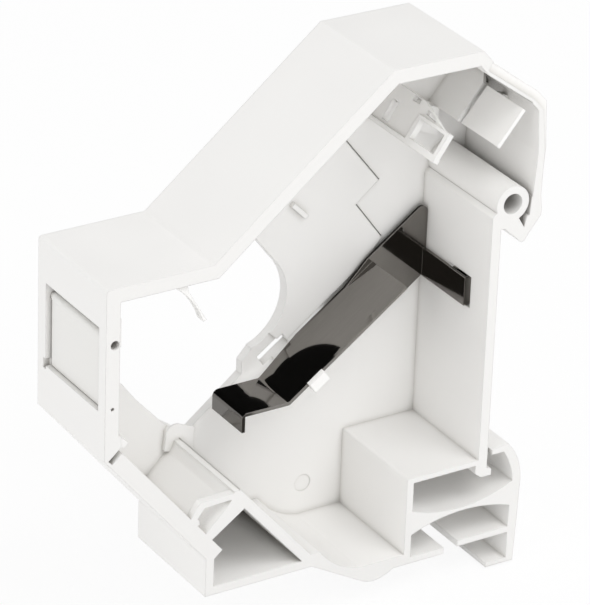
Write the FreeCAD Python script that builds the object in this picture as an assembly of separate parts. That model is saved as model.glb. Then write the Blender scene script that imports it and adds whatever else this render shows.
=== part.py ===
"""Keystone adapter for a 35 mm mounting rail, cover side open.

One plastic housing with a moulded hook and a moulded spring latch for the rail,
one folded contact strip that joins the jack's shield to the rail, and one dust
flap in the port window. Origin: mid-depth on the face that sits on the rail,
halfway between the hook and the latch. Y is the depth, Z is up the rail.
"""
import os
import math
import FreeCAD
import Part

os.makedirs("parts", exist_ok=True)

# Driving sizes of the housing
depth = 18.4
back_wall = 1.4
wall = 2.1
shell_wall = 1.8
rail_wall = 1.5
thin_wall = 1.3
chamfer_wall = 1.65
lip_step = 0.8
slant_wall = 2.5
belly_thick = 1.7
corner_round = 0.5

# Rail seat
rail_size = 35.0
rail_play = 0.3

# Screw boss beside the hook
boss_r = 2.65
bore_r = 1.5

# Port window and flap
port_front_rim = 1.9
port_back_rim = 2.1
port_height = 12.3
port_low = 4.5
flap_gap = 0.3
flap_low_gap = 0.1
flap_play = 0.05
flap_thick = 1.3
pin_r = 0.6
pin_play = 0.05

# Contact strip
sheet = 0.5
strip_play = 0.08
plate_gap = 0.9
leaf_inset = 7.0
tongue_inset = 5.0
tongue_low = 4.3
tongue_high = 8.55
bend_round = 0.9

# Derived planes
front = -depth / 2
back = depth / 2
floor_y = back - back_wall
seat_half = (rail_size + rail_play) / 2
high = seat_half
low = -seat_half
plate_back = floor_y - plate_gap
plate_y = plate_back - sheet
leaf_front = front + leaf_inset
tongue_end = front + tongue_inset
port_y0 = front + port_front_rim
port_y1 = back - port_back_rim


def vec(x, y, z):
    return FreeCAD.Vector(x, y, z)


def prism(points, y0, y1):
    """Outline in X and Z, drawn out along the depth."""
    loop = [vec(x, y0, z) for x, z in points]
    loop.append(loop[0])
    return Part.Face(Part.makePolygon(loop)).extrude(vec(0, y1 - y0, 0))


def ribbon(path, thick):
    """Closed outline of a bent wall lying to the right of the path."""
    normals = []
    for (x0, z0), (x1, z1) in zip(path, path[1:]):
        run = math.hypot(x1 - x0, z1 - z0)
        normals.append(((z1 - z0) / run, (x0 - x1) / run))
    inner = []
    for i, (x, z) in enumerate(path):
        a = normals[max(i - 1, 0)]
        b = normals[min(i, len(normals) - 1)]
        share = thick / (1 + a[0] * b[0] + a[1] * b[1])
        inner.append((x + (a[0] + b[0]) * share, z + (a[1] + b[1]) * share))
    return list(path) + inner[::-1]


def bent_wall(path, thick, y0, y1):
    return prism(ribbon(path, thick), y0, y1)


def rod(x, z, radius, y0, y1):
    return Part.makeCylinder(radius, y1 - y0, vec(x, y0, z), vec(0, 1, 0))


def block(x0, x1, y0, y1, z0, z1):
    return Part.makeBox(x1 - x0, y1 - y0, z1 - z0, vec(x0, y0, z0))


def smooth_prism(outline, y0, y1):
    """Like prism, but a point may be (middle, end) of an arc in place of a corner."""
    start = outline[0]
    edges = []
    here = vec(start[0], y0, start[1])
    for step in outline[1:] + [start]:
        if isinstance(step[0], tuple):
            end = vec(step[1][0], y0, step[1][1])
            edges.append(Part.Arc(here, vec(step[0][0], y0, step[0][1]), end).toShape())
        else:
            end = vec(step[0], y0, step[1])
            edges.append(Part.makeLine(here, end))
        here = end
    return Part.Face(Part.Wire(edges)).extrude(vec(0, y1 - y0, 0))


def round_along_depth(shape, spots, radius):
    """Rounds the edges that run along the depth through these points in X and Z."""
    picked = []
    for edge in shape.Edges:
        a = edge.Vertexes[0].Point
        b = edge.Vertexes[-1].Point
        if abs(a.x - b.x) > 0.001 or abs(a.z - b.z) > 0.001 or abs(a.y - b.y) < 0.01:
            continue
        for x, z in spots:
            if math.hypot(a.x - x, a.z - z) < 0.02:
                picked.append(edge)
                break
    return shape.makeFillet(radius, picked)


def ledge(low, angle, outline, thick):
    """Plate square to the back wall, leaning at an angle: outline in depth and width."""
    c = math.cos(math.radians(angle))
    d = math.sin(math.radians(angle))
    loop = [vec(low[0] + s * c, y, low[1] + s * d) for y, s in outline]
    loop.append(loop[0])
    return Part.Face(Part.makePolygon(loop)).extrude(vec(d * thick, 0, -c * thick))


def raised(level, points):
    """Outline whose heights are given from a level, such as one end of the rail seat."""
    out = []
    for p in points:
        out.append(tuple(raised(level, p)) if isinstance(p[0], tuple) else (p[0], p[1] + level))
    return out


def along(origin, angle, s, n):
    """Point in X and Z, s along a line at an angle and n off it to the left."""
    c = math.cos(math.radians(angle))
    d = math.sin(math.radians(angle))
    return (origin[0] + s * c - n * d, origin[1] + s * d + n * c)


# Outline of the housing, seen from the open side
left = -61.6
port_top = 22.9
lower_left = (left, -2.3)
shoulder = (-45.5, port_top)
peak_left = (-18.7, high + 27.55)
peak_right = (-4.5, high + 27.45)
step_low = (-2.3, high + 24.85)
chamfer_low = (5.2, high + 19.35)
corner_right = (6.8, high + 17.55)
right_mid = (7.2, high + 10.45)
right_low = (6.5, high + 0.85)
slant_low = (-45.6, low - 3.95)
block_bottom = low - 9.85
belly_left = (-20.2, low - 14.55)
belly_right = (-16.6, low - 14.75)
foot = low - 3.15
box_left = -13.3
box_top = low - 0.25
sill = low - 13.95
sill_end = -6.6
boss = (1.7, high + 3.55)
hook_tip = (3.1, high - 2.35)
hook_under = (0.6, high)

# Walls round the rim
left_top = bent_wall([(left, -2.3), (left, port_top), shoulder, peak_left, peak_right], wall, front, back)
left_top = round_along_depth(left_top, [(left, port_top), shoulder, peak_left], corner_round)
chamfer = bent_wall([(-6.4, peak_right[1]), peak_right, step_low, chamfer_low, corner_right],
                    chamfer_wall, front, back)
right_side = bent_wall([chamfer_low, corner_right, right_mid, right_low], shell_wall, front, back)
slant = bent_wall([(-44.9, low - 4.75), slant_low, lower_left, (left, 1.0)], slant_wall, front, back)

# Rail wall with the lip at its foot
rail_side = prism([(0, low - 1.85), (0.8, low - 2.15), (0.8, foot), (-0.9, foot), (-1.9, low - 2.35),
                   (-1.9, low - 0.55), (-rail_wall, low - 0.55), (-rail_wall, high + 1.95),
                   (-0.9, high + 2.65), (0, high + 2.65)], front, back)

# Hook over the rail's upper edge, run into the boss
hook = smooth_prism([(-0.8, high + 2.15), (0, high), hook_under, hook_tip,
                     ((3.6, high - 2.65), (4.2, high - 2.15)), right_low, (6.8, high + 3.75),
                     (4.8, high + 3.95), (4.6, high + 1.25), (4.2, high + 1.15), (3.8, high - 0.45), (2.8, high + 1.25), boss],
                    front, back)
boss_tube = rod(boss[0], boss[1], boss_r, front, back)

# Back wall, with a pad that stands up a little round the jack opening
pad_height = 0.3
back_outline = [(left, lower_left[1]), (left, port_top), shoulder, peak_left, peak_right, step_low,
                chamfer_low, corner_right, right_mid, (6.9, high + 4.55), boss, (0, high + 1.35),
                (0, low - 1.75), (-1.9, foot), (sill_end, low - 10.35), (sill_end, sill), (-15.0, sill),
                (-20.6, sill), (-28.1, block_bottom), (slant_low[0], block_bottom), slant_low]
back_plate = prism(back_outline, floor_y, back)
back_plate = round_along_depth(back_plate, [(left, port_top), shoulder, peak_left], corner_round)
pad_edge = [(-17.5, high + 12.85), (-9.3, 20.2), (-12.9, 17.2), (-8.4, 11.2)]
pad = prism(pad_edge + [(-10.6, 8.3), (-24.0, -1.6), (-45.0, 18.0), (-44.4, 21.4), (-24.0, high + 20.65)],
            floor_y - pad_height, floor_y + 0.2)
pad_groove = bent_wall(pad_edge[::-1], 0.22, floor_y - 1, floor_y + 0.25)
wall_rib = prism([(-23.7, 19.5), (-23.2, 20.0), (-20.9, 17.7), (-21.4, 17.2)], floor_y - 1.0, floor_y + 0.2)

# Lower block: side, bottom, roof of two slopes, belly and floor
block_side = bent_wall([(-28.0, block_bottom), (slant_low[0], block_bottom), slant_low], thin_wall, front, back)
roof_left = prism(raised(low, [(-39.7, 2.45), (-45.6, -1.75), (-44.3, -3.75), (-45.4, -3.95), (-47.0, -1.95),
                               (-46.3, -0.55), (-42.1, 3.75), (-41.4, 5.05), (-40.5, 5.15)]), front, back)
roof_right = bent_wall(raised(low, [(-41.2, 6.45), (-28.7, -7.95), (-28.7, -8.95)]), 1.5, front, back)
roof_right = roof_right.cut(block(-43, -40.5, front - 1, back + 1, low + 3.65, low + 7.65))
bridge = smooth_prism(raised(low, [(-47.0, 4.75), (-46.6, 5.15), (-41.0, 5.25), (-41.0, 4.35), (-46.0, 4.15),
                                   (-47.4, 2.25), ((-48.0, 2.35), (-48.2, 2.85))]), front, front + 1.2)
ridge = block(-41.4, -40.5, front, back, low + 4.05, low + 5.45)
ridge_end = smooth_prism(raised(low, [(-42.9, 4.05), (-42.6, 7.05), ((-41.6, 7.85), (-40.3, 7.65)),
                                      (-38.1, 6.75), (-38.4, 2.65)]), floor_y - 0.7, back)
catch_tooth = prism(raised(low, [(-48.6, 1.45), (-46.7, 1.75), (-46.9, 2.65), (-48.2, 2.75)]),
                    front, front + 1.2)
belly = smooth_prism([(sill_end, sill), (-15.0, sill), ((-15.7, sill - 0.4), belly_right),
                      ((-18.4, sill - 1.1), belly_left), (-28.9, block_bottom + 0.2),
                      (-28.9, block_bottom + 2.0), (-27.3, block_bottom + 2.0),
                      ((-24.6, block_bottom - 0.7), (-20.6, sill + belly_thick)),
                      (sill_end - 6.0, sill + belly_thick), (sill_end - 6.0, sill + 1.0),
                      (sill_end, sill + 1.0)], front, back)
eject_mark = rod(-19.7, low - 7.45, 1.3, floor_y - 0.1, floor_y + 0.12)

# Box round the latch spring
box_roof = block(box_left, -rail_wall + 0.2, front, back, box_top - 0.8, box_top)
box_side = block(box_left, box_left + 1.1, front, back, sill, box_top)
box_top_round = round_along_depth(box_side.fuse(box_roof).removeSplitter(), [(box_left, box_top)], 0.3)

# Latch spring: arched beam, column with the lip under the rail, two plates for a driver tip
latch_back = floor_y - 0.8
beam_root = box_left + 0.5
beam = smooth_prism(raised(low, [(beam_root, -5.35), ((-4.3, -7.15), (4.7, -5.05)), (4.7, -9.15),
                                 ((-3.8, -7.65), (beam_root, -9.65))]), front, latch_back)
column = smooth_prism(raised(low, [(0.8, 0), (0.8, 0.7), (3.4, 1.25), ((5.2, -1.55), (5.9, -5.95)),
                                   (5.7, -11.85), (5.4, -18.3), (4.25, -18.25), (4.2, -12.25), (4.3, -8.95),
                                   ((4.5, -4.35), (2.8, 0))]), front, latch_back)
latch_upper = block(-4.3, 4.6, front, latch_back, low - 13.4, low - 12.45)
latch_lower = block(0.8, 5.0, front, latch_back, low - 18.25, low - 17.6)

# Ledges in the upper corner: a long one on the back wall, a short tab in line
# with it that a cover snaps behind, and a framed plate with two windows
shelf_angle = 50.5
shelf_low = (-1.5, high + 12.75)
shelf_wide = 6.25
ledge_thick = 0.6
shelf = ledge(shelf_low, shelf_angle, [(0.6, 0), (floor_y + 0.2, 0), (floor_y + 0.2, 9.0), (3.0, 9.0),
                                       (0.6, shelf_wide)], ledge_thick)
tab = ledge(shelf_low, shelf_angle, [(front + 0.1, 0), (-0.4, 0), (-0.4, shelf_wide),
                                     (front + 0.1, shelf_wide)], ledge_thick)
stay_outline = [along(shelf_low, shelf_angle, 1.6, -0.5), along(shelf_low, shelf_angle, 5.8, -0.5),
                (6.0, high + 15.75), (6.0, high + 12.55)]
tab_stay = prism(stay_outline, -1.7, -0.4)
shelf_stay = prism(stay_outline, 3.0, 4.2)
brace_angle = 55.5
brace_low = (-11.8, high + 12.95)
brace_wide = 4.2
brace_plane = along(brace_low, brace_angle, 0, -0.4)
brace = ledge(brace_plane, brace_angle, [(front + 0.2, 0), (floor_y + 0.2, 0), (floor_y + 0.2, 6.1),
                                         (-1.2, 6.1), (-7.2, brace_wide), (front + 0.2, brace_wide - 0.4)],
              0.6)
brace_lip = ledge(brace_low, brace_angle, [(front, -0.25), (floor_y + 0.2, -0.25), (floor_y + 0.2, 0.4),
                                           (front, 0.4)], 1.0)
brace_frame = ledge(brace_low, brace_angle, [(front, -0.1), (-1.8, -0.1), (-1.8, brace_wide),
                                             (front, brace_wide)], 0.9)
brace_top = along(brace_low, brace_angle, 0, 0.5)
brace_window = ledge(brace_top, brace_angle, [(front + 0.75, 0.72), (-2.6, 0.72), (-2.6, 3.68),
                                              (front + 0.75, 3.68)], 2.5)
brace_slot = ledge(brace_top, brace_angle, [(3.3, 0.8), (4.8, 0.8), (4.8, 3.9), (3.3, 3.9)], 2.5)
brace_notch = ledge(brace_top, brace_angle, [(-0.4, 5.2), (1.2, 5.2), (1.2, 5.9), (-0.4, 5.9)], 2.5)
brace_notch_long = ledge(brace_top, brace_angle, [(-5.2, 4.4), (-2.6, 4.6), (-2.6, 5.3), (-4.4, 4.8)], 2.5)
brace_stay = prism([along(brace_low, brace_angle, 0.9, -0.9), along(brace_low, brace_angle, 3.4, -0.9),
                    (-1.2, high + 12.75), (-1.2, high + 8.35), (-7.0, high + 10.95)], 5.4, floor_y + 0.2)

# Rests under the contact strip and the lug that holds its leaf
leaf_angle = 36.2
leaf_low = (-28.8, -5.05)
leaf_len = 22.8
strip_rib_a = block(-9.0, -8.2, plate_back + strip_play, floor_y + 0.2, 5.2, 8.6)
strip_rib_b = block(-4.4, -3.6, plate_back + strip_play, floor_y + 0.2, 5.0, 11.6)
under = -sheet - strip_play
lug_post = prism([along(leaf_low, leaf_angle, 3.6, under), along(leaf_low, leaf_angle, 6.4, under),
                  along(leaf_low, leaf_angle, 6.4, under - 0.9), along(leaf_low, leaf_angle, 3.6, under - 0.9)],
                 leaf_front - 0.9, floor_y + 0.2)
lug_head = prism([along(leaf_low, leaf_angle, 3.6, 0.25), along(leaf_low, leaf_angle, 6.4, 0.25),
                  along(leaf_low, leaf_angle, 6.4, under - 0.9), along(leaf_low, leaf_angle, 3.6, under - 0.9)],
                 leaf_front - 0.9, leaf_front - strip_play)

# Finger that catches the jack, under the roof of the port
finger = smooth_prism([(-52.4, port_top - 1.5), ((-50.3, 20.0), (-46.7, 14.7)), (-46.2, 14.9), (-49.0, 19.6),
                       (-49.4, port_top - 1.5)], front + 0.5, front + 2.0)

# Window frame inside the port: flap stop along the sill and hood behind the gap
port_high = port_low + port_height
axis_x = left + 1.35
axis_z = port_high - 2.1
stop_x = axis_x + flap_thick / 2 + flap_play
flap_stop = block(stop_x, left + wall + 0.8, port_y0 - 0.6, port_y1 + 0.4, port_low - 1.2, port_low + 0.7)
hood_x = left + wall + 0.5
flap_hood = prism([(left + wall - 0.1, port_high), (left + wall - 0.1, port_high + 0.7),
                   (hood_x + 0.5, port_high + 0.7), (hood_x + 0.5, port_high - 3.4), (hood_x, port_high - 3.4),
                   (hood_x, port_high)], port_y0 - 0.4, floor_y + 0.2)
sill_stub = prism([(left + 1.8, 1.2), (left + 4.2, -0.9), (left + 3.6, -1.6), (left + 1.8, -1.4)],
                  front + 1.0, front + 3.4)

housing = left_top.fuse([chamfer, right_side, slant, rail_side, hook, boss_tube, back_plate, pad, wall_rib,
                         block_side, roof_left, roof_right, bridge, ridge, ridge_end, belly, catch_tooth,
                         box_top_round, beam, column, latch_upper, latch_lower, shelf, tab,
                         tab_stay, shelf_stay, brace, brace_lip, brace_frame, brace_stay, strip_rib_a,
                         strip_rib_b, lug_post, lug_head, finger, flap_stop, flap_hood, sill_stub])

# Openings in the back wall
jack_round = rod(-31.6, 6.2, 7.95, floor_y - 0.5, back + 1)
jack_hole = prism([(-24.9, 10.5), (-32.6, 20.4), (-44.6, 19.2), (-57.0, 18.9), (-57.0, 5.0), (-49.3, -1.9),
                   (-47.1, -4.8), (-42.7, low + 8.05), (-41.2, low + 7.05), (-39.4, low + 5.45), (-30.4, -5.0),
                   (-30.4, -3.1), (-29.0, -1.5)], floor_y - 0.5, back + 1)
lug_core = prism([(-28.0, -2.9), (-24.1, -0.1), (-23.0, -1.6), (-26.9, -4.4)], floor_y - 0.5, back + 1)

# Opening in the rail wall for the tongue of the strip
tongue_slit = block(-rail_wall - 0.01, 0.5, tongue_end - 0.7, tongue_end + 4.7, tongue_low - 0.2,
                    tongue_high + 0.3)

# Port window and pin holes
window = block(left - 1, left + wall + 0.4, port_y0, port_y1, port_low, port_high).cut(flap_stop)
window_notch = block(left - 1, left + 0.9, port_y1 - 0.1, port_y1 + 0.6, port_low - 0.5, port_low + 1.0)
pin_hole = rod(axis_x, axis_z, pin_r + pin_play, front - 1, port_y1 + 1.3)
corner_slot = prism([(-60.4, -3.0), (-58.6, -1.4), (-59.2, -0.8), (-61.0, -2.4)], front - 1, front + 1.2)
rim_dot = rod(left + 1.1, 5.3, 0.25, front - 1, front + 0.5)

# Step outside the rim lip along the sloped corner and the right side, where a cover sits
cover_step = prism([(-3.6, high + 24.4), (4.3, high + 18.55), (5.9, high + 16.75), (6.5, high + 10.45),
                    (6.3, high + 4.0), (6.6, high + 1.6), (9.0, high + 1.6), (9.0, high + 18.35), (-1.5, high + 27.0),
                    (-2.9, high + 25.7)], front - 1, front + lip_step)

housing = housing.cut([jack_round, jack_hole, lug_core, tongue_slit, window, window_notch, pin_hole,
                       corner_slot, rim_dot, cover_step, pad_groove, brace_window, brace_slot, brace_notch,
                       brace_notch_long, eject_mark, rod(boss[0], boss[1], bore_r, front - 1, back + 1)])
housing = housing.removeSplitter()
housing.exportStep("parts/housing.step")

# Contact strip: plate on the back wall, leaf with its foot, tongue along the rail wall
plate_right = -rail_wall - strip_play
plate_wide = 8.12
plate_rise = 0.9
plate_root = 13.4
edge_low = along(leaf_low, leaf_angle, plate_root, -plate_wide)
slope = math.tan(math.radians(leaf_angle))
top_start = along(leaf_low, leaf_angle, leaf_len - 0.4, plate_rise)
rise_start = along(leaf_low, leaf_angle, leaf_len - 5.3, 0)
top_corner = (plate_right, top_start[1] + (plate_right - top_start[0]) * slope)
low_corner = (plate_right, edge_low[1] + (plate_right - edge_low[0]) * slope)
plate = prism([along(leaf_low, leaf_angle, plate_root, 0), rise_start, top_start, top_corner, low_corner, edge_low],
              plate_y, plate_back)
plate = round_along_depth(plate, [top_corner], bend_round)
nose = [along(leaf_low, leaf_angle, leaf_len, 0), leaf_low, (-36.2, leaf_low[1]), (-36.2, -7.95)][::-1]
nose_faces = ribbon(nose, sheet)
leaf = prism(nose_faces, leaf_front, plate_back)
leaf = round_along_depth(leaf, [nose_faces[1], nose_faces[5]], bend_round)
leaf = round_along_depth(leaf, [nose_faces[2]], bend_round)
foot_back = plate_back - 1.1
foot_trim = Part.Face(Part.makePolygon([vec(-40, foot_back, -12), vec(leaf_low[0], foot_back, -12),
                                        vec(leaf_low[0] + 6.8, plate_back + 0.05, -12),
                                        vec(leaf_low[0] + 6.8, back, -12), vec(-40, back, -12),
                                        vec(-40, foot_back, -12)])).extrude(vec(0, 0, 18))
bevel_end = leaf_len + 0.5
bevel = []
for s, y, n in ((4.0, leaf_front - 0.01, 0), (bevel_end, leaf_front + 1.6, 0), (bevel_end, leaf_front - 0.01, -0.26)):
    x, z = along(leaf_low, leaf_angle, s, n)
    bevel.append(vec(x, y, z))
bevel.append(bevel[0])
up_leaf = vec(-math.sin(math.radians(leaf_angle)), 0, math.cos(math.radians(leaf_angle)))
leaf_bevel = Part.Face(Part.makePolygon(bevel)).extrude(up_leaf)
leaf = leaf.cut([foot_trim, leaf_bevel])
tongue_in = plate_right - sheet
tongue_path = [(tongue_in, plate_back), (tongue_in, tongue_end), (tongue_in + 1.3, tongue_end),
               (-0.62, tongue_end + 2.4), (-1.1, tongue_end + 4.0)]
loop = [vec(x, y, tongue_low) for x, y in ribbon(tongue_path, -0.45)]
loop.append(loop[0])
tongue = Part.Face(Part.makePolygon(loop)).extrude(vec(0, 0, tongue_high - tongue_low))
ground_strip = plate.fuse([leaf, tongue]).removeSplitter()
ground_strip.exportStep("parts/ground_strip.step")

# Dust flap with its two pins, hanging shut
flap_y0 = port_y0 + flap_gap
flap_y1 = port_y1 - flap_gap - 0.15
flap_leaf = block(axis_x - flap_thick / 2, axis_x + flap_thick / 2, flap_y0, flap_y1,
                  port_low + flap_low_gap, axis_z)
knuckle = rod(axis_x, axis_z, flap_thick / 2 + 0.1, flap_y0, flap_y1)
pins = rod(axis_x, axis_z, pin_r, front + 1.6, port_y1 + 1.1)
dust_flap = flap_leaf.fuse([knuckle, pins]).removeSplitter()
dust_flap.exportStep("parts/dust_flap.step")

for name, shape in (("housing", housing), ("ground_strip", ground_strip), ("dust_flap", dust_flap)):
    box = shape.BoundBox
    print(name, len(shape.Solids), shape.isValid(), round(shape.Volume, 1),
          round(box.XLength, 2), round(box.YLength, 2), round(box.ZLength, 2))
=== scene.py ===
"""Looks of the rail-mounted keystone adapter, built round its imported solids."""
import bpy
import math
from mathutils import Matrix, Vector


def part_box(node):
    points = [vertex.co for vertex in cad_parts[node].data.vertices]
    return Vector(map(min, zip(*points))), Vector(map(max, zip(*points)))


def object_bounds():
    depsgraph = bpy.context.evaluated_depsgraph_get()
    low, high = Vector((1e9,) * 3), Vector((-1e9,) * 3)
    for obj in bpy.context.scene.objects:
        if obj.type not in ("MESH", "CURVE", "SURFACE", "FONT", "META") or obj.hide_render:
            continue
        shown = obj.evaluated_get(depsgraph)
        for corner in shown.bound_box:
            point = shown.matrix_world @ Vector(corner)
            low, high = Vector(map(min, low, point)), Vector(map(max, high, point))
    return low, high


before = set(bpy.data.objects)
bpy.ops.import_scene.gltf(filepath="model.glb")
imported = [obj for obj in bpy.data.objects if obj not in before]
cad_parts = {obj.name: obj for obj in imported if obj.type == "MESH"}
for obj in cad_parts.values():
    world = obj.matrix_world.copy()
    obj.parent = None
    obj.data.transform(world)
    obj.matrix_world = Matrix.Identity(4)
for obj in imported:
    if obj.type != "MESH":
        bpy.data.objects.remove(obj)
cad_low, cad_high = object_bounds()


# Housing: one injection-moulded shell of white ABS, open on the side that a
# cover or a neighbour closes. Its tool was spark-eroded to a fine matt grain,
# which gives a soft broad gloss and no sharp mirror.
def linear(hexcode):
    """sRGB hex to a linear colour with alpha."""
    out = []
    for i in (0, 2, 4):
        c = int(hexcode[i:i + 2], 16) / 255
        out.append(c / 12.92 if c <= 0.04045 else ((c + 0.055) / 1.055) ** 2.4)
    return (*out, 1.0)


def add(tree, kind, settings=None, links=None):
    """Adds one node, sets its sockets or properties by name, and links its inputs."""
    node = tree.nodes.new(kind)
    for key, value in (settings or {}).items():
        if key in node.inputs:
            node.inputs[key].default_value = value
        else:
            setattr(node, key, value)
    for key, source in (links or {}).items():
        tree.links.new(source, node.inputs[key])
    return node


def start_material(name):
    """A new node-based material and its node tree, emptied."""
    material = bpy.data.materials.new(name)
    material.use_nodes = True
    material.node_tree.nodes.clear()
    return material, material.node_tree


def give(node_name, material):
    """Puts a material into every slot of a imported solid."""
    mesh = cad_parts[node_name].data
    for i in range(max(1, len(mesh.materials))):
        if i < len(mesh.materials):
            mesh.materials[i] = material
        else:
            mesh.materials.append(material)


shell_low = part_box("housing")[0]
abs_white, tree = start_material("moulded_white_abs")
place = add(tree, "ShaderNodeTexCoord")
# slow drift of tone over about 20 mm, as the melt cools unevenly
drift = add(tree, "ShaderNodeTexNoise", {"Scale": 50.0, "Detail": 2.0}, {"Vector": place.outputs["Object"]})
tone = add(tree, "ShaderNodeMix", {"data_type": "RGBA"}, {"Factor": drift.outputs["Fac"]})
tone.name = "tone"
tone.inputs["A"].default_value = linear("f3f2f0")
tone.inputs["B"].default_value = linear("f6f5f3")
# painted shade: the front rims are painted a shade darker than the other faces
rim_skin = 0.00005
spot = add(tree, "ShaderNodeSeparateXYZ", links={"Vector": place.outputs["Object"]})
front = add(tree, "ShaderNodeMath", {"operation": "LESS_THAN"}, {0: spot.outputs["Y"]})
front.inputs[1].default_value = shell_low[1] + rim_skin
rim_shade = add(tree, "ShaderNodeMix", {"data_type": "RGBA"},
             {"Factor": front.outputs["Value"], "A": tone.outputs["Result"]})
rim_shade.inputs["B"].default_value = linear("ebeae8")
# painted shade in the inner corners, about 0.9 mm wide
corner = add(tree, "ShaderNodeAmbientOcclusion", {"samples": 6, "Distance": 0.0009})
corner_open = add(tree, "ShaderNodeMapRange", {"From Min": 0.4, "From Max": 0.95},
                  {"Value": corner.outputs["AO"]})
corner_shade = add(tree, "ShaderNodeMix", {"data_type": "RGBA"},
             {"Factor": corner_open.outputs["Result"], "B": rim_shade.outputs["Result"]})
corner_shade.inputs["A"].default_value = linear("dfddd9")
# painted shade, darker still, in narrow slots, notches and deep pockets under 4 mm across
slot = add(tree, "ShaderNodeAmbientOcclusion", {"samples": 6, "Distance": 0.004})
slot_open = add(tree, "ShaderNodeMapRange", {"From Min": 0.05, "From Max": 0.36},
                {"Value": slot.outputs["AO"]})
shaded = add(tree, "ShaderNodeMix", {"data_type": "RGBA"},
             {"Factor": slot_open.outputs["Result"], "B": corner_shade.outputs["Result"]})
shaded.inputs["A"].default_value = linear("a09e9a")
# eroded grain, real pitch about 0.05 mm, drawn at 0.35 mm so that it shows
grain = add(tree, "ShaderNodeTexNoise", {"Scale": 2800.0, "Detail": 3.0, "Roughness": 0.6},
            {"Vector": place.outputs["Object"]})
sheen = add(tree, "ShaderNodeMapRange", {"From Min": 0.3, "From Max": 0.7, "To Min": 0.38, "To Max": 0.5},
            {"Value": drift.outputs["Fac"]})
# every outer edge of the tool was broken by about 0.2 mm, so rims catch a fine light line
edge = add(tree, "ShaderNodeBevel", {"Radius": 0.00022, "samples": 6})
skin = add(tree, "ShaderNodeBump", {"Strength": 0.12, "Distance": 0.00003},
           {"Height": grain.outputs["Fac"], "Normal": edge.outputs["Normal"]})
shader = add(tree, "ShaderNodeBsdfPrincipled", {"IOR": 1.53},
             {"Base Color": shaded.outputs["Result"], "Roughness": sheen.outputs["Result"],
              "Normal": skin.outputs["Normal"]})
add(tree, "ShaderNodeOutputMaterial", links={"Surface": shader.outputs["BSDF"]})
give("housing", abs_white)


# Earthing strip: 0.5 mm spring steel, blanked, folded and left with its dark
# oil-bright rolled skin. It is a sharp dark mirror, so it shows the white walls
# as mid grey and the dark cards, which are painted reflections, as black.
strip_low, strip_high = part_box("ground_strip")
dark_steel, tree = start_material("dark_rolled_spring_steel")
place = add(tree, "ShaderNodeTexCoord")
# faint rolling lines about 0.4 mm apart, along the strip
lines = add(tree, "ShaderNodeMapping", {"Scale": (300.0, 2500.0, 300.0)}, {"Vector": place.outputs["Object"]})
roll = add(tree, "ShaderNodeTexNoise", {"Scale": 1.0, "Detail": 3.0}, {"Vector": lines.outputs["Vector"]})
tint = add(tree, "ShaderNodeMix", {"data_type": "RGBA"}, {"Factor": roll.outputs["Fac"]})
tint.inputs["A"].default_value = linear("7d7a76")
tint.inputs["B"].default_value = linear("878480")
polish = add(tree, "ShaderNodeMapRange", {"To Min": 0.04, "To Max": 0.09}, {"Value": roll.outputs["Fac"]})
# painted shade: the sheared top edge of the plate and of the leaf's upper end is painted dark
plate_skin = 0.00038
edge_shade_start = -0.022
edge_shade_full = -0.016
spot = add(tree, "ShaderNodeSeparateXYZ", links={"Vector": place.outputs["Object"]})
facing = add(tree, "ShaderNodeNewGeometry")
lean = add(tree, "ShaderNodeSeparateXYZ", links={"Vector": facing.outputs["True Normal"]})
behind = add(tree, "ShaderNodeMath", {"operation": "GREATER_THAN"}, {0: spot.outputs["Y"]})
behind.inputs[1].default_value = strip_high[1] - plate_skin
upward = add(tree, "ShaderNodeMath", {"operation": "GREATER_THAN"}, {0: lean.outputs["Z"]})
upward.inputs[1].default_value = 0.5
beyond = add(tree, "ShaderNodeMapRange", {"From Min": edge_shade_start, "From Max": edge_shade_full},
             {"Value": spot.outputs["X"]})
top_edge = add(tree, "ShaderNodeMath", {"operation": "MULTIPLY"},
               {0: behind.outputs["Value"], 1: upward.outputs["Value"]})
# mask of the painted shade on the top edge, fading in along X
scale = add(tree, "ShaderNodeMath", {"operation": "MULTIPLY"},
            {0: top_edge.outputs["Value"], 1: beyond.outputs["Result"]})
# and the turned-down nose is a little darker than the flat sheet
nose = add(tree, "ShaderNodeMapRange",
           {"From Min": strip_low[0] + 0.0007, "From Max": strip_low[0] + 0.0001, "To Max": 0.45},
           {"Value": spot.outputs["X"]})
dark = add(tree, "ShaderNodeMath", {"operation": "MAXIMUM"},
           {0: scale.outputs["Value"], 1: nose.outputs["Result"]})
# the dark colour carries the painted shade of the top edge and the darker nose
coat = add(tree, "ShaderNodeMix", {"data_type": "RGBA"},
           {"Factor": dark.outputs["Value"], "A": tint.outputs["Result"]})
coat.inputs["B"].default_value = linear("2a2826")
# edges tumbled round by about 0.1 mm, so each carries a thin light line
edge = add(tree, "ShaderNodeBevel", {"Radius": 0.00012, "samples": 4})
shader = add(tree, "ShaderNodeBsdfPrincipled", {"Metallic": 1.0},
             {"Base Color": coat.outputs["Result"], "Roughness": polish.outputs["Result"],
              "Normal": edge.outputs["Normal"]})
add(tree, "ShaderNodeOutputMaterial", links={"Surface": shader.outputs["BSDF"]})
give("ground_strip", dark_steel)


# Dust flap: a thin plate moulded in the same white ABS and snapped in by its two
# pins. It comes from another tool, and its face is a little greyer.
flap_abs = abs_white.copy()
flap_abs.name = "moulded_white_abs_flap"
flap_tone = flap_abs.node_tree.nodes["tone"]
flap_tone.inputs["A"].default_value = linear("ecebe8")
flap_tone.inputs["B"].default_value = linear("efeeeb")
give("dust_flap", flap_abs)


# Floor: a wide pale sheet just under the lowest point of the latch. It shows
# almost white to the eye and in mirrors, and keeps a soft part of the shadow.
def studio_sheet(name, place, turn, size, material):
    """A flat sheet of the studio, turned about the X axis, that isn't part of the object."""
    bpy.ops.mesh.primitive_plane_add(size=1.0, location=place, rotation=(math.radians(turn), 0, 0))
    flat = bpy.context.object
    flat.name = name
    flat.scale = (*size, 1.0)
    flat.data.materials.append(material)
    return flat


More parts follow.
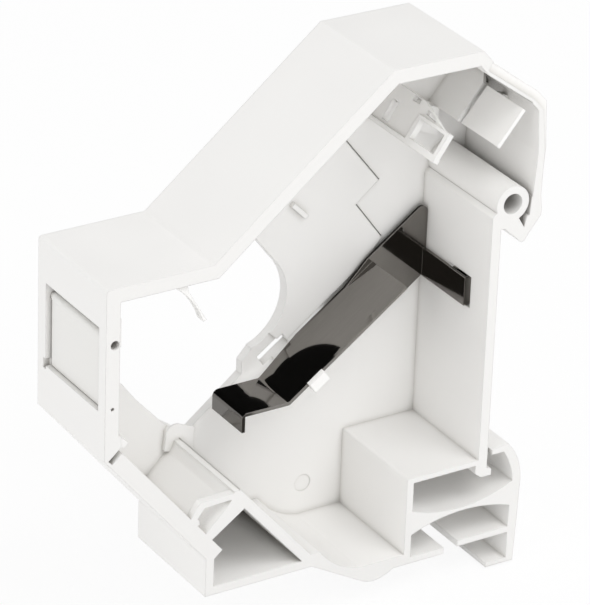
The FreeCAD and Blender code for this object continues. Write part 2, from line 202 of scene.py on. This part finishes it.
def plain_sight(tree):
    """1 for what the eye, a mirror or clear glass sees straight, 0 for scattered light."""
    rays = add(tree, "ShaderNodeLightPath")
    mirror = add(tree, "ShaderNodeMath", {"operation": "MAXIMUM"},
                 {0: rays.outputs["Is Camera Ray"], 1: rays.outputs["Is Glossy Ray"]})
    return add(tree, "ShaderNodeMath", {"operation": "MAXIMUM"},
               {0: mirror.outputs["Value"], 1: rays.outputs["Is Transmission Ray"]})


floor_z = cad_low[2] - 0.00025
floor_wide = 6.0
paper_sheet, tree = start_material("pale_paper_floor")
paper = add(tree, "ShaderNodeBsdfDiffuse", {"Color": linear("fafafa")})
white = add(tree, "ShaderNodeEmission", {"Color": (1, 1, 1, 1), "Strength": 1.0})
share = add(tree, "ShaderNodeMath", {"operation": "MULTIPLY"}, {0: plain_sight(tree).outputs["Value"]})
share.inputs[1].default_value = 0.9
mixed = add(tree, "ShaderNodeMixShader",
            links={0: share.outputs["Value"], 1: paper.outputs["BSDF"], 2: white.outputs["Emission"]})
add(tree, "ShaderNodeOutputMaterial", links={"Surface": mixed.outputs["Shader"]})
studio_sheet("floor", (0, 0, floor_z), 0, (floor_wide, floor_wide), paper_sheet)


# Studio light: a bright even room with three broad soft lamps. Two dark cards,
# one behind and above and one on the floor, are painted reflections: they show only in mirror surfaces.
def soft_lamp(name, place, size, power):
    """A square lamp that points at the middle of the object."""
    data = bpy.data.lights.new(name, "AREA")
    data.size = size
    data.energy = power
    lamp = bpy.data.objects.new(name, data)
    lamp.location = place
    lamp.rotation_euler = (Vector((-0.02, 0, 0)) - Vector(place)).to_track_quat("-Z", "Y").to_euler()
    bpy.context.collection.objects.link(lamp)


def mirror_card(name, place, turn, size, shade):
    """A matt card that only mirror surfaces show: a painted reflection."""
    card_reflection, tree = start_material(name + "_felt")
    card_face = add(tree, "ShaderNodeBsdfPrincipled", {"Base Color": linear(shade), "Roughness": 1.0})
    add(tree, "ShaderNodeOutputMaterial", links={"Surface": card_face.outputs["BSDF"]})
    card = studio_sheet(name, place, turn, size, card_reflection)
    for ray in ("camera", "diffuse", "shadow", "transmission"):
        setattr(card, "visible_" + ray, False)


world = bpy.data.worlds.new("studio")
bpy.context.scene.world = world
world.use_nodes = True
tree = world.node_tree
tree.nodes.clear()
room = add(tree, "ShaderNodeBackground", {"Color": (1, 1, 1, 1), "Strength": 0.69})
seen = add(tree, "ShaderNodeBackground", {"Color": (1, 1, 1, 1), "Strength": 1.0})
pick = add(tree, "ShaderNodeMixShader",
           links={0: plain_sight(tree).outputs["Value"], 1: room.outputs["Background"],
                  2: seen.outputs["Background"]})
add(tree, "ShaderNodeOutputWorld", links={"Surface": pick.outputs["Shader"]})

soft_lamp("key", (0.15, -0.45, 0.75), 0.5, 2.65)
soft_lamp("left", (-0.75, -0.25, 0.35), 0.5, 1.1)
soft_lamp("front", (-0.1, -0.9, 0.15), 0.6, 0.88)
# painted reflections: cards that only mirror surfaces show
mirror_card("dark_card", (0.0, 0.42, 0.36), 130, (1.1, 0.6), "0a0a0a")
mirror_card("grey_card", (-0.07, -0.075, floor_z + 0.0004), 0, (0.13, 0.12), "625f5b")


# Camera: in front, to the left and above, level but for about two degrees.
eye = Vector((-0.3008, -0.4296, 0.2691))
aim = Vector((-0.02702, -0.00004, 0.00888))
tilt = math.radians(2.11)
ahead = (aim - eye).normalized()
side = ahead.cross(Vector((0, 0, 1))).normalized()
top = side.cross(ahead)
right = side * math.cos(tilt) + top * math.sin(tilt)
above = right.cross(ahead)
camera = bpy.data.objects.new("camera", bpy.data.cameras.new("camera"))
camera.data.sensor_width = 36.0
camera.data.sensor_fit = "HORIZONTAL"
camera.data.lens = 257.2
camera.data.clip_start = 0.01
camera.matrix_world = Matrix((right, above, -ahead)).transposed().to_4x4()
camera.matrix_world.translation = eye
bpy.context.collection.objects.link(camera)
bpy.context.scene.camera = camera
bpy.context.scene.view_settings.view_transform = "Standard"
